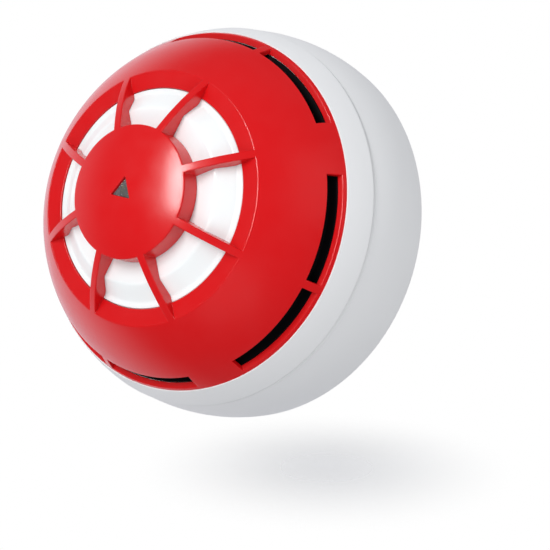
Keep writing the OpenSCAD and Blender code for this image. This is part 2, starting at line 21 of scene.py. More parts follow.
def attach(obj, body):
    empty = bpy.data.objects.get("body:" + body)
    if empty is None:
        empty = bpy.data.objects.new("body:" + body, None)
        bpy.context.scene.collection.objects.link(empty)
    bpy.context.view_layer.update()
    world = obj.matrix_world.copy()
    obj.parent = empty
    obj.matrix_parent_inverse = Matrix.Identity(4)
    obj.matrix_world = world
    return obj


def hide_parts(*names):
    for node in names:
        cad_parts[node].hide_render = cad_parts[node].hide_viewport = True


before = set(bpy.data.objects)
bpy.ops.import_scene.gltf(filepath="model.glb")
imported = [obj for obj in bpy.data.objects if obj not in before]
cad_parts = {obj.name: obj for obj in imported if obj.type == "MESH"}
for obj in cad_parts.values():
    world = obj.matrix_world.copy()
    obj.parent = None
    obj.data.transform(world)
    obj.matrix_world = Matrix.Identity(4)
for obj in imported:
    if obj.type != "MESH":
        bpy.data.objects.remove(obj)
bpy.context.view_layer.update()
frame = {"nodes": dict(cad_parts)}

LOG = logging.getLogger("sounder_strobe")

Array = NDArray[np.float64]
Colour = tuple[float, float, float]

MM = 0.001              # metres in a millimetre
TINY = 1e-6             # a difference too small to matter, in millimetres
WELD = 2e-6             # points closer than this are one point, in metres
SHARP_DEG = 38.0        # edges that bend more than this stay crisp
QUARTER_STEPS = 5       # pieces in a rounded edge


# ---- surfaces ----

@dataclass(frozen=True)
class Patch:
    """Points of a surface and the four-sided faces between them."""

    points: Array
    faces: NDArray[np.int64]


def grid_patch(rows: Array, close: bool = False) -> Patch:
    """Joins neighbouring points of a grid into four-sided faces. Each row ends where it starts.

    Args:
        rows: points as (rows, points in a row, 3).
        close: whether the last row joins the first.

    Returns:
        The patch.
    """
    n_rows, n_across = rows.shape[:2]
    down = np.arange(n_rows if close else n_rows - 1)
    i, j = np.meshgrid(down, np.arange(n_across), indexing="ij")
    i_next, j_next = (i + 1) % n_rows, (j + 1) % n_across
    faces = np.stack(
        [i * n_across + j, i_next * n_across + j, i_next * n_across + j_next, i * n_across + j_next], -1
    )
    return Patch(rows.reshape(-1, 3), faces.reshape(-1, 4))


def turned(points: Array, degrees: float) -> Array:
    """Turns points about the z axis: x' = x cos a - y sin a, y' = x sin a + y cos a.

    Args:
        points: points with x, y and z last.
        degrees: the angle a, anticlockwise from the front.

    Returns:
        The turned points.
    """
    c, s = math.cos(math.radians(degrees)), math.sin(math.radians(degrees))
    x, y, z = points[..., 0], points[..., 1], points[..., 2]
    return np.stack([x * c - y * s, x * s + y * c, z], -1)


def mirrored(points: Array) -> Array:
    """Points with y turned into -y."""
    return points * np.array([1.0, -1.0, 1.0])


def rounded(corners: Sequence[tuple[float, float, float]], steps: int = QUARTER_STEPS) -> Array:
    """A closed outline whose corners are eased.

    Each corner C with an ease d becomes the curve (1-t)^2 A + 2t(1-t) C + t^2 B, where A and B lie
    at distance d from C on its two sides.

    Args:
        corners: (radius, height, ease) of each corner, in order.
        steps: pieces in each eased corner.

    Returns:
        The outline as (points, 2).
    """
    table = np.array(corners)
    at, ease = table[:, :2], table[:, 2]
    out: list[Array] = []
    t = np.linspace(0, 1, steps + 1)[:, None]
    for k, corner in enumerate(at):
        if ease[k] <= 0:
            out.append(corner[None])
            continue
        before, after = at[k - 1] - corner, at[(k + 1) % len(at)] - corner
        a = corner + before / np.linalg.norm(before) * ease[k]
        b = corner + after / np.linalg.norm(after) * ease[k]
        out.append((1 - t) ** 2 * a + 2 * t * (1 - t) * corner + t**2 * b)
    return np.concatenate(out)


def revolved(outline: Array, segments: int) -> Patch:
    """Carries a closed outline of (radius, height) round the z axis: x = r cos a, y = r sin a.

    Args:
        outline: points of (radius, height).
        segments: steps round the circle.

    Returns:
        The surface.
    """
    a = np.linspace(0, 2 * math.pi, segments, endpoint=False)
    r, z = outline[:, :1], outline[:, 1:]
    rows = np.stack([r * np.cos(a), r * np.sin(a), np.broadcast_to(z, (len(outline), segments))], -1)
    return grid_patch(rows, close=True)


def blended(start: Array, end: Array, steps: int) -> Array:
    """Rows from one loop to another: (1-t) start + t end for even t, both ends included."""
    t = np.linspace(0, 1, steps + 1)[:, None, None]
    return (1 - t) * start + t * end


def eased(start: Array, corner: Array, end: Array, steps: int = QUARTER_STEPS) -> Array:
    """Rows over a rounded edge: (1-t)^2 start + 2t(1-t) corner + t^2 end, without its first row."""
    t = np.linspace(0, 1, steps + 1)[1:, None, None]
    return (1 - t) ** 2 * start + 2 * t * (1 - t) * corner + t**2 * end


def mesh_piece(name: str, patches: Sequence[Patch]) -> bpy.types.Object:
    """Welds patches into one mesh piece in the frame, with its faces turned outwards.

    Args:
        name: the piece's name.
        patches: surfaces in millimetres on the maker's axes.

    Returns:
        The new object, at the origin.
    """
    counts = np.cumsum([0] + [len(p.points) for p in patches])
    points = np.concatenate([p.points for p in patches])
    faces = np.concatenate([p.faces + start for p, start in zip(patches, counts)])
    placed = np.stack([points[:, 0], -points[:, 2], points[:, 1]], -1) * MM
    mesh = bpy.data.meshes.new(name)
    mesh.vertices.add(len(placed))
    mesh.vertices.foreach_set("co", placed.astype(np.float32).ravel())
    mesh.loops.add(faces.size)
    mesh.loops.foreach_set("vertex_index", faces.astype(np.int32).ravel())
    mesh.polygons.add(len(faces))
    mesh.polygons.foreach_set("loop_start", np.arange(0, faces.size, 4, dtype=np.int32))
    mesh.update(calc_edges=True)
    work = bmesh.new()
    work.from_mesh(mesh)
    bmesh.ops.remove_doubles(work, verts=work.verts, dist=WELD)
    bmesh.ops.dissolve_degenerate(work, edges=work.edges, dist=WELD / 4)
    bmesh.ops.recalc_face_normals(work, faces=work.faces)
    open_edges = sum(1 for e in work.edges if not e.is_manifold)
    work.to_mesh(mesh)
    work.free()
    mesh.polygons.foreach_set("use_smooth", np.ones(len(mesh.polygons), dtype=bool))
    mesh.set_sharp_from_angle(angle=math.radians(SHARP_DEG))
    mesh.update()
    LOG.info("%s: %d faces, %d open edges", name, len(mesh.polygons), open_edges)
    piece = bpy.data.objects.new(name, mesh)
    bpy.context.scene.collection.objects.link(piece)
    return piece


@dataclass(frozen=True)
class Ball:
    """The sphere that a skin of the head follows."""

    radius: float
    centre_z: float

    def height(self, r: Array | float) -> Array:
        """Height of the front of the sphere at a distance r from the axis: c + sqrt(R^2 - r^2)."""
        return self.centre_z + np.sqrt(self.radius**2 - np.square(r))

    def reach(self, z: Array | float) -> Array:
        """Distance of the sphere from the axis at a height z: sqrt(R^2 - (z - c)^2)."""
        return np.sqrt(self.radius**2 - np.square(np.asarray(z) - self.centre_z))


def triangle_reach(degrees: Array, inner: float, corner_deg: float, crispness: float = 16.0) -> Array:
    """Distance from the centre to a triangle's softened outline.

    It is inner / (sum over the sides of max(0, cos(a - side))^p)^(1/p), which is the plain triangle
    for a large p.

    Args:
        degrees: directions a from the centre.
        inner: distance of each side from the centre.
        corner_deg: direction of one corner.
        crispness: the power p.

    Returns:
        The distances.
    """
    sides = np.radians(corner_deg + 60 + np.arange(3) * 120)
    lean = np.maximum(np.cos(np.radians(degrees)[..., None] - sides), 0)
    return inner / np.sum(lean**crispness, -1) ** (1 / crispness)


# ---- finishes ----

class Pattern(Enum):
    """What a finish's fine relief is made of."""

    GRAIN = "grain"
    BRUSHED = "brushed"
    WEAVE = "weave"
    FOAM = "foam"
    SATIN = "satin"


@dataclass(frozen=True)
class Finish:
    """A surface finish: two shades that mottle softly, gloss that varies, and fine relief.

    Sizes are in millimetres. Constants go straight onto the shader; only what changes over the
    surface is linked.
    """

    name: str
    shade: Colour
    second: Colour
    rough: float = 0.4
    rough_spread: float = 0.06
    metallic: float = 0.0
    pattern: Pattern = Pattern.GRAIN
    relief_pitch: float = 0.35
    relief_depth: float = 0.01
    relief_power: float = 0.3
    mottle_size: float = 18.0
    edge: float = 0.18
    wear: float = 0.0
    coat: float = 0.0
    coat_rough: float = 0.1
    subsurface: float = 0.0
    transmission: float = 0.0
    ior: float = 1.49
    # painted glow: emission that makes a milky part look lit from within; it is no lamp
    painted_glow: Colour | None = None
    painted_glow_power: float = 0.0
    sheen: float = 0.0
    gloss: float = 0.5


class Groups:
    """Shader groups that the finishes share, each built once."""

    FINE_RATIO = 4.3        # how much finer the gloss's clouds are than the shade's
    RUB_COSINE = 0.8        # how far an eased edge leans from its face where the rub is full
    WOVEN_R = 0.046         # radius at which a woven ring's wires are as far apart as up its height
    BRUSH_STRETCH = 0.06    # length of a brushed line's pattern along it

    def __init__(self) -> None:
        """Builds the groups."""
        self.mottle = self._mottle()
        self.edge = self._edge()
        self.relief = {pattern: self._relief(pattern) for pattern in Pattern}

    @staticmethod
    def _start(
        name: str, ins: Sequence[tuple[str, str, float]], outs: Sequence[tuple[str, str]]
    ) -> tuple[bpy.types.NodeTree, bpy.types.Node, bpy.types.Node]:
        """Makes an empty group.

        Args:
            name: the group's name.
            ins: (name, socket type, default) of each input.
            outs: (name, socket type) of each output.

        Returns:
            The group, its input node and its output node.
        """
        tree = bpy.data.node_groups.new(name, "ShaderNodeTree")
        for label, kind, default in ins:
            socket = tree.interface.new_socket(label, in_out="INPUT", socket_type=kind)
            if kind == "NodeSocketFloat":
                socket.default_value = default
        for label, kind in outs:
            tree.interface.new_socket(label, in_out="OUTPUT", socket_type=kind)
        return tree, tree.nodes.new("NodeGroupInput"), tree.nodes.new("NodeGroupOutput")

    def _mottle(self) -> bpy.types.NodeTree:
        """Soft cloudy masks, one for the shade and one for the gloss.

        Returns:
            The group, with Shade and Gloss outputs from 0 to 1.
        """
        tree, ins, outs = self._start(
            "soft_mottle",
            [("Place", "NodeSocketVector", 0), ("Scale", "NodeSocketFloat", 50.0)],
            [("Shade", "NodeSocketFloat"), ("Gloss", "NodeSocketFloat")],
        )
        link = tree.links.new
        broad = tree.nodes.new("ShaderNodeTexNoise")
        broad.inputs["Detail"].default_value = 3.0
        fine = tree.nodes.new("ShaderNodeTexNoise")
        fine.inputs["Detail"].default_value = 4.0
        times = tree.nodes.new("ShaderNodeMath")
        times.operation = "MULTIPLY"
        times.inputs[1].default_value = self.FINE_RATIO
        link(ins.outputs["Place"], broad.inputs["Vector"])
        link(ins.outputs["Place"], fine.inputs["Vector"])
        link(ins.outputs["Scale"], broad.inputs["Scale"])
        link(ins.outputs["Scale"], times.inputs[0])
        link(times.outputs[0], fine.inputs["Scale"])
        link(broad.outputs["Fac"], outs.inputs["Shade"])
        link(fine.outputs["Fac"], outs.inputs["Gloss"])
        return tree

    def _edge(self) -> bpy.types.NodeTree:
        """Rounded-looking normals and a mask of the outer edges, where handling rubs a part.

        Returns:
            The group, with Normal and Rub outputs.
        """
        tree, ins, outs = self._start(
            "eased_edges",
            [("Radius", "NodeSocketFloat", 0.0002)],
            [("Normal", "NodeSocketVector"), ("Rub", "NodeSocketFloat")],
        )
        link = tree.links.new
        ease = tree.nodes.new("ShaderNodeBevel")
        ease.samples = 4
        plain = tree.nodes.new("ShaderNodeNewGeometry")
        dot = tree.nodes.new("ShaderNodeVectorMath")
        dot.operation = "DOT_PRODUCT"
        flip = tree.nodes.new("ShaderNodeMapRange")
        flip.inputs["From Min"].default_value = 1.0
        flip.inputs["From Max"].default_value = self.RUB_COSINE
        link(ins.outputs["Radius"], ease.inputs["Radius"])
        link(ease.outputs["Normal"], dot.inputs[0])
        link(plain.outputs["Normal"], dot.inputs[1])
        link(dot.outputs["Value"], flip.inputs["Value"])
        link(ease.outputs["Normal"], outs.inputs["Normal"])
        link(flip.outputs["Result"], outs.inputs["Rub"])
        return tree

    def _relief(self, pattern: Pattern) -> bpy.types.NodeTree:
        """The height of one kind of fine relief.

        Args:
            pattern: the kind.

        Returns:
            The group, with a Height output from 0 to 1.
        """
        tree, ins, outs = self._start(
            f"relief_{pattern.value}",
            [("Place", "NodeSocketVector", 0), ("Scale", "NodeSocketFloat", 1000.0)],
            [("Height", "NodeSocketFloat")],
        )
        link = tree.links.new
        if pattern in (Pattern.GRAIN, Pattern.SATIN):
            cells = tree.nodes.new("ShaderNodeTexNoise")
            cells.inputs["Detail"].default_value = 2.0 if pattern is Pattern.GRAIN else 5.0
            cells.inputs["Roughness"].default_value = 0.55
            link(ins.outputs["Place"], cells.inputs["Vector"])
            link(ins.outputs["Scale"], cells.inputs["Scale"])
            link(cells.outputs["Fac"], outs.inputs["Height"])
        elif pattern is Pattern.FOAM:
            cells = tree.nodes.new("ShaderNodeTexVoronoi")
            link(ins.outputs["Place"], cells.inputs["Vector"])
            link(ins.outputs["Scale"], cells.inputs["Scale"])
            link(cells.outputs["Distance"], outs.inputs["Height"])
        elif pattern is Pattern.BRUSHED:
            stretch = tree.nodes.new("ShaderNodeMapping")
            stretch.inputs["Scale"].default_value = (1.0, 1.0, self.BRUSH_STRETCH)
            cells = tree.nodes.new("ShaderNodeTexNoise")
            cells.inputs["Detail"].default_value = 3.0
            link(ins.outputs["Place"], stretch.inputs["Vector"])
            link(stretch.outputs["Vector"], cells.inputs["Vector"])
            link(ins.outputs["Scale"], cells.inputs["Scale"])
            link(cells.outputs["Fac"], outs.inputs["Height"])
        else:
            self._weave(tree, ins, outs)
        return tree

    @classmethod
    def _weave(cls, tree: bpy.types.NodeTree, ins: bpy.types.Node, outs: bpy.types.Node) -> None:
        """Wires over and under: the larger of a sine along the angle and a sine along the height.

        Args:
            tree: the group to fill.
            ins: its input node.
            outs: its output node.
        """
        link = tree.links.new
        split = tree.nodes.new("ShaderNodeSeparateXYZ")
        link(ins.outputs["Place"], split.inputs["Vector"])
        angle = tree.nodes.new("ShaderNodeMath")
        angle.operation = "ARCTAN2"
        link(split.outputs["Z"], angle.inputs[0])
        link(split.outputs["X"], angle.inputs[1])
        around = tree.nodes.new("ShaderNodeMath")
        around.operation = "MULTIPLY"
        around.inputs[1].default_value = cls.WOVEN_R
        link(angle.outputs[0], around.inputs[0])
        waves: list[bpy.types.Node] = []
        for source in (around.outputs[0], split.outputs["Y"]):
            times = tree.nodes.new("ShaderNodeMath")
            times.operation = "MULTIPLY"
            link(source, times.inputs[0])
            link(ins.outputs["Scale"], times.inputs[1])
            wave = tree.nodes.new("ShaderNodeMath")
            wave.operation = "SINE"
            link(times.outputs[0], wave.inputs[0])
            waves.append(wave)
        top = tree.nodes.new("ShaderNodeMath")
        top.operation = "MAXIMUM"
        link(waves[0].outputs[0], top.inputs[0])
        link(waves[1].outputs[0], top.inputs[1])
        link(top.outputs[0], outs.inputs["Height"])


class Paint:
    """Turns finishes into materials."""

    GLOSS_SPAN = (0.3, 0.7)     # the part of the clouds that spreads the gloss
    LEAST_ROUGH = 0.02
    RUB_GAIN = 1.2              # a rubbed edge is this much paler
    RUB_LIFT = 0.03
    BLEED = 0.0015              # how far light spreads under a milky surface, in metres

    def __init__(self) -> None:
        """Builds the shared groups."""
        self.groups = Groups()
        self.made: dict[str, bpy.types.Material] = {}

    def material(self, finish: Finish) -> bpy.types.Material:
        """The material of a finish, built once.

        Args:
            finish: the finish.

        Returns:
            Its material.
        """
        if finish.name in self.made:
            return self.made[finish.name]
        made = bpy.data.materials.new(finish.name)
        made.use_nodes = True
        nodes, link = made.node_tree.nodes, made.node_tree.links.new
        shader = nodes["Principled BSDF"]
        place = nodes.new("ShaderNodeTexCoord").outputs["Object"]

        mottle = nodes.new("ShaderNodeGroup")
        mottle.node_tree = self.groups.mottle
        mottle.inputs["Scale"].default_value = 1 / (finish.mottle_size * MM)
        link(place, mottle.inputs["Place"])
        shade = nodes.new("ShaderNodeMix")
        shade.data_type = "RGBA"
        shade.inputs["A"].default_value = (*finish.shade, 1)
        shade.inputs["B"].default_value = (*finish.second, 1)
        link(mottle.outputs["Shade"], shade.inputs["Factor"])
        colour = shade.outputs["Result"]

        edge = nodes.new("ShaderNodeGroup")
        edge.node_tree = self.groups.edge
        edge.inputs["Radius"].default_value = finish.edge * MM
        if finish.wear > 0:
            rub = nodes.new("ShaderNodeMix")
            rub.data_type = "RGBA"
            rub.inputs["B"].default_value = (
                *[min(1, c * self.RUB_GAIN + self.RUB_LIFT) for c in finish.shade], 1)
            amount = nodes.new("ShaderNodeMath")
            amount.operation = "MULTIPLY"
            amount.inputs[1].default_value = finish.wear
            link(edge.outputs["Rub"], amount.inputs[0])
            link(amount.outputs[0], rub.inputs["Factor"])
            link(colour, rub.inputs["A"])
            colour = rub.outputs["Result"]
        link(colour, shader.inputs["Base Color"])

        gloss = nodes.new("ShaderNodeMapRange")
        gloss.inputs["From Min"].default_value, gloss.inputs["From Max"].default_value = self.GLOSS_SPAN
        gloss.inputs["To Min"].default_value = max(self.LEAST_ROUGH, finish.rough - finish.rough_spread)
        gloss.inputs["To Max"].default_value = finish.rough + finish.rough_spread
        link(mottle.outputs["Gloss"], gloss.inputs["Value"])
        link(gloss.outputs["Result"], shader.inputs["Roughness"])

        relief = nodes.new("ShaderNodeGroup")
        relief.node_tree = self.groups.relief[finish.pattern]
        relief.inputs["Scale"].default_value = 1 / (finish.relief_pitch * MM)
        link(place, relief.inputs["Place"])
        bump = nodes.new("ShaderNodeBump")
        bump.inputs["Strength"].default_value = finish.relief_power
        bump.inputs["Distance"].default_value = finish.relief_depth * MM
        link(relief.outputs["Height"], bump.inputs["Height"])
        link(edge.outputs["Normal"], bump.inputs["Normal"])
        link(bump.outputs["Normal"], shader.inputs["Normal"])

        shader.inputs["Metallic"].default_value = finish.metallic
        shader.inputs["IOR"].default_value = finish.ior
        shader.inputs["Specular IOR Level"].default_value = finish.gloss
        shader.inputs["Coat Weight"].default_value = finish.coat
        shader.inputs["Coat Roughness"].default_value = finish.coat_rough
        shader.inputs["Sheen Weight"].default_value = finish.sheen
        shader.inputs["Transmission Weight"].default_value = finish.transmission
        if finish.subsurface > 0:
            shader.inputs["Subsurface Weight"].default_value = finish.subsurface
            shader.inputs["Subsurface Radius"].default_value = (1.0, 1.0, 1.0)
            shader.inputs["Subsurface Scale"].default_value = self.BLEED
        # The painted glow: a faint emission standing in for light scattered through the part.
        if finish.painted_glow is not None:
            shader.inputs["Emission Color"].default_value = (*finish.painted_glow, 1)
            shader.inputs["Emission Strength"].default_value = finish.painted_glow_power
        self.made[finish.name] = made
        return made

    def dress(self, piece: bpy.types.Object, finish: Finish) -> None:
        """Puts a finish on every material slot of a piece.

        Args:
            piece: a mesh object.
            finish: the finish.
        """
        made = self.material(finish)
        if not piece.data.materials:
            piece.data.materials.append(made)
        for slot in piece.material_slots:
            slot.material = made


RED = Finish("red_moulding", (0.66, 0.0045, 0.007), (0.63, 0.0040, 0.006), rough=0.24, rough_spread=0.03,
    gloss=0.65, relief_pitch=0.30, relief_depth=0.012, wear=0.12, edge=0.12, mottle_size=26)
WHITE = Finish("white_moulding", (0.80, 0.81, 0.82), (0.78, 0.79, 0.80), rough=0.48, rough_spread=0.05,
    relief_pitch=0.32, relief_depth=0.010, relief_power=0.35, edge=0.25, mottle_size=30)
# The opal lens carries a faint painted glow in place of light scattered through it.
OPAL = Finish("opal_lens", (0.84, 0.875, 0.875), (0.82, 0.855, 0.86), rough=0.32, rough_spread=0.04,
    relief_pitch=0.6, relief_depth=0.004, relief_power=0.2, edge=0.15, subsurface=0.25, coat=0.15,
    pattern=Pattern.SATIN, painted_glow=(0.80, 0.97, 1.0), painted_glow_power=0.07)
CLEAR = Finish("clear_acrylic", (0.93, 0.92, 0.95), (0.88, 0.87, 0.92), rough=0.10, rough_spread=0.04,
    relief_pitch=0.9, relief_depth=0.01, relief_power=0.25, edge=0.08, transmission=0.92,
    pattern=Pattern.SATIN)
BLACK = Finish("black_moulding", (0.012, 0.012, 0.013), (0.016, 0.016, 0.017), rough=0.5)
MESH = Finish("woven_screen", (0.003, 0.003, 0.004), (0.005, 0.005, 0.006), rough=0.7, gloss=0.08,
    pattern=Pattern.WEAVE, relief_pitch=0.12, relief_depth=0.08, relief_power=0.8)
RUBBER = Finish("grey_rubber", (0.05, 0.05, 0.052), (0.07, 0.07, 0.073), rough=0.75,
    relief_pitch=0.25, relief_depth=0.02)
FOAM = Finish("cell_foam", (0.06, 0.06, 0.065), (0.09, 0.09, 0.095), rough=0.9, pattern=Pattern.FOAM,
    relief_pitch=0.5, relief_depth=0.12, relief_power=0.8, sheen=0.2)
STEEL = Finish("zinc_steel", (0.62, 0.63, 0.65), (0.52, 0.54, 0.58), rough=0.3, metallic=1.0,
    pattern=Pattern.BRUSHED, relief_pitch=0.2, relief_depth=0.01, wear=0.3, edge=0.1)
BRASS = Finish("spring_brass", (0.78, 0.57, 0.25), (0.70, 0.48, 0.20), rough=0.28, metallic=1.0,
    pattern=Pattern.BRUSHED, relief_pitch=0.2, relief_depth=0.01, wear=0.2, edge=0.08)
CERAMIC = Finish("silvered_ceramic", (0.75, 0.75, 0.73), (0.66, 0.66, 0.64), rough=0.45, metallic=0.6,
    pattern=Pattern.SATIN)
GREEN_BOARD = Finish("green_board", (0.012, 0.12, 0.05), (0.02, 0.16, 0.065), rough=0.33, coat=0.4,
    pattern=Pattern.SATIN, relief_pitch=1.4, relief_depth=0.03, mottle_size=3.0)
WHITE_BOARD = Finish("white_board", (0.82, 0.82, 0.80), (0.76, 0.76, 0.74), rough=0.35, coat=0.3,
    pattern=Pattern.SATIN, relief_pitch=1.6, relief_depth=0.02, mottle_size=4.0)
CHIP = Finish("chip_resin", (0.02, 0.02, 0.022), (0.032, 0.032, 0.034), rough=0.6, relief_pitch=0.1)
CAN = Finish("drawn_aluminium", (0.80, 0.81, 0.83), (0.70, 0.71, 0.74), rough=0.25, metallic=1.0,
    pattern=Pattern.BRUSHED, relief_pitch=0.2, relief_depth=0.01)
FERRITE = Finish("ferrite", (0.03, 0.03, 0.034), (0.05, 0.05, 0.055), rough=0.7, relief_pitch=0.2,
    relief_depth=0.02)
BLUE = Finish("blue_moulding", (0.03, 0.12, 0.50), (0.04, 0.15, 0.56), rough=0.42)
IVORY = Finish("ivory_moulding", (0.75, 0.72, 0.60), (0.70, 0.67, 0.55), rough=0.5)
FOIL = Finish("mirror_foil", (0.90, 0.90, 0.91), (0.84, 0.84, 0.86), rough=0.12, metallic=1.0,
    pattern=Pattern.SATIN, relief_pitch=2.0, relief_depth=0.02)
LED = Finish("phosphor", (0.85, 0.78, 0.35), (0.80, 0.72, 0.28), rough=0.35, coat=0.5,
    pattern=Pattern.SATIN, relief_pitch=0.5)

KEPT: dict[str, Finish] = {
    "base": WHITE, "cable_grommet": RUBBER, "terminal_block": IVORY, "terminal_screws": STEEL,
    "wire_clamps": STEEL, "contact_springs": BRASS, "block_screws": STEEL, "locking_screw": STEEL,
    "seam_gasket": RUBBER, "sounder_body": WHITE, "rear_cover": WHITE, "cover_screws": STEEL,
    "contact_pads": BRASS, "main_board": GREEN_BOARD, "board_screws": STEEL, "controller_chip": CHIP,
    "capacitors": CAN, "boost_inductor": FERRITE, "dip_switch": BLUE, "dip_slider_1": IVORY,
    "dip_slider_2": IVORY, "dip_slider_3": IVORY, "dip_slider_4": IVORY, "dip_slider_5": IVORY,
    "trimmer_body": BLUE, "trimmer_rotor": IVORY, "board_link": BLACK, "piezo_foam": FOAM,
    "piezo_disc": BRASS, "piezo_ceramic": CERAMIC, "tone_chamber": BLACK, "chamber_screws": STEEL,
    "sound_screen": MESH, "strobe_carrier": BLACK, "strobe_board": WHITE_BOARD, "strobe_screws": STEEL,
    "strobe_leds": LED, "reflector": FOIL, "indicator_led": LED, "lens_seal": RUBBER,
    "dome_screws": STEEL,
}


# ---- pieces ----

@dataclass
class RedDome:
    """The red dome: a spherical shell with a centre cap, eight spokes over the lens windows, a flat
    land round them, and eight sound slots above the rim. Sizes in millimetres."""

    outer: Ball = field(default_factory=lambda: Ball(61.8, 10.3))
    wall: float = 1.6
    phase: float = 13.0
    cells: int = 8
    cap_r: float = 20.1
    skirt_t: float = 2.0
    window_r: float = 33.4
    land_r: float = 38.6
    land_z: float = 58.5
    land_low_z: float = 56.7
    land_lap: float = 0.01
    spoke_w: float = 2.4
    collar_r: float = 42.0
    rim_z: float = 37.1
    slot_low_z: float = 38.3
    slot_high_z: float = 42.9
    slot_span: float = 36.2
    rib_w: float = 2.6
    window_inner: float = 2.05
    ease: float = 0.30
    window_ease: float = 0.15
    slot_ease: float = 0.26
    rim_ease: float = 0.15
    post_r: float = 3.0
    post_hole_r: float = 1.55
    post_at_r: float = 41.5
    post_low_z: float = 44.1
    posts: int = 4
    underside: tuple[tuple[float, float], ...] = (
        (18.1, 62.5), (26.7, 62.5), (31.5, 58.3), (33.4, 58.3), (33.6, 57.2), (38.0, 57.2), (38.3, 56.7))
    across_cap: int = 24
    along_spoke: int = 22
    across_land: int = 40
    along_slot: int = 18
    round_post: int = 40
    skin_steps: int = 8
    wall_steps: int = 4
    slot_skin_steps: int = 9
    slot_wall_steps: int = 3
    slot_back_steps: int = 6
    cap_skin_steps: int = 14
    cap_wall_steps: int = 2

    def __post_init__(self) -> None:
        """Works out the inner skin and the half angle of a cell."""
        self.inner = Ball(self.outer.radius - self.wall, self.outer.centre_z)
        self.half = 180.0 / self.cells

    def cell_loop(self, half_w: float, r_in: float, r_out: float) -> Array:
        """A loop round one window: an arc, a spoke's side, an arc and the other spoke's side.

        A side runs parallel to its spoke's centre line, half_w away from it: the point at a along
        it is a (cos h, sin h) + half_w (sin h, -cos h), with h half the cell's angle.

        Args:
            half_w: distance of each side from its spoke's centre line.
            r_in: radius of the inner arc.
            r_out: radius of the outer arc.

        Returns:
            The loop as (points, 2), centred on the x axis.
        """
        h = math.radians(self.half)
        lean_in, lean_out = h - math.asin(half_w / r_in), h - math.asin(half_w / r_out)
        inner = np.linspace(-lean_in, lean_in, self.across_cap, endpoint=False)
        outer = np.linspace(lean_out, -lean_out, self.across_land, endpoint=False)
        along = np.linspace(
            math.sqrt(r_in**2 - half_w**2), math.sqrt(r_out**2 - half_w**2), self.along_spoke + 1
        )
        side = np.stack([
            along * math.cos(h) + half_w * math.sin(h),
            along * math.sin(h) - half_w * math.cos(h),
        ], -1)
        back = side[::-1] * np.array([1.0, -1.0])
        return np.concatenate([
            r_in * np.stack([np.cos(inner), np.sin(inner)], -1),
            side[:-1],
            r_out * np.stack([np.cos(outer), np.sin(outer)], -1),
            back[:-1],
        ])

    def raised(self, flat: Array, height: Callable[[Array], Array]) -> Array:
        """Gives points in plan a height that depends on their distance from the axis."""
        return np.concatenate([flat, height(np.linalg.norm(flat, axis=-1))[..., None]], -1)

    def under_height(self, r: Array) -> Array:
        """Height of the underside: the lens's clearance inside the windows, then the inner skin."""
        r_table, z_table = np.array(self.underside).T
        return np.where(r > r_table[-1] + TINY, self.inner.height(r), np.interp(r, r_table, z_table))

    def window_cell(self) -> Array:
        """The skin round one window, over its rounded edge, down its wall and back underneath.

        Returns:
            Rows of loops in the cell's own axes.
        """
        h, e = self.spoke_w / 2, self.ease
        border = self.cell_loop(0.0, self.cap_r - self.skirt_t, self.collar_r)
        lip = self.cell_loop(h - e, self.cap_r - e, self.land_r + e)
        corner = self.cell_loop(h, self.cap_r, self.land_r)
        foot = self.cell_loop(h, self.cap_r, self.land_r - e)
        first = self.across_cap + self.along_spoke
        on_land = np.zeros(len(border), dtype=bool)
        on_land[first:first + self.across_land + 1] = True
        top = self.raised(blended(border, lip, self.skin_steps), self.outer.height)
        edge = self.raised(corner, self.outer.height)
        below = edge - np.array([0.0, 0.0, e])
        flat = np.concatenate([foot, np.full((len(foot), 1), self.land_z + self.land_lap)], -1)
        below[on_land] = flat[on_land]
        over = eased(top[-1], edge, below)
        wall_foot = self.raised(below[:, :2], self.under_height)
        wall = blended(below, wall_foot, self.wall_steps)[1:]
        under = self.raised(blended(wall_foot[:, :2], border, self.skin_steps), self.under_height)[1:]
        return np.concatenate([top, over, wall, under])

    def slot_loop(self, near: Array | float, far: float, low: float, high: float) -> Array:
        """A loop of (degrees, height) round one sound slot.

        Args:
            near: degrees of the end by the rib.
            far: degrees of the other end.
            low: height of the lower edge.
            high: height of the upper edge.

        Returns:
            The loop as (points, 2), anticlockwise from the upper edge's near end.
        """
        across = np.linspace(near, far, self.across_land, endpoint=False)
        down = np.linspace(high, low, self.along_slot, endpoint=False)
        return np.concatenate([
            np.stack([across, np.full_like(across, high)], -1),
            np.stack([np.full_like(down, far), down], -1),
            np.stack([np.linspace(far, near, self.across_land, endpoint=False),
                np.full_like(across, low)], -1),
            np.stack([np.full_like(down, near), np.linspace(low, high, self.along_slot, endpoint=False)], -1),
        ])

    def on_ball(self, loop: Array, ball: Ball, inset: float = 0.0) -> Array:
        """Puts a loop on a sphere: r = reach(z) - inset, x = r cos a, y = r sin a.

        Args:
            loop: points of (degrees, height).
            ball: the sphere.
            inset: how far inside it the points lie.

        Returns:
            Points with x, y and z last.
        """
        a, z = np.radians(loop[..., 0]), loop[..., 1]
        r = ball.reach(z) - inset
        return np.stack([r * np.cos(a), r * np.sin(a), z], -1)

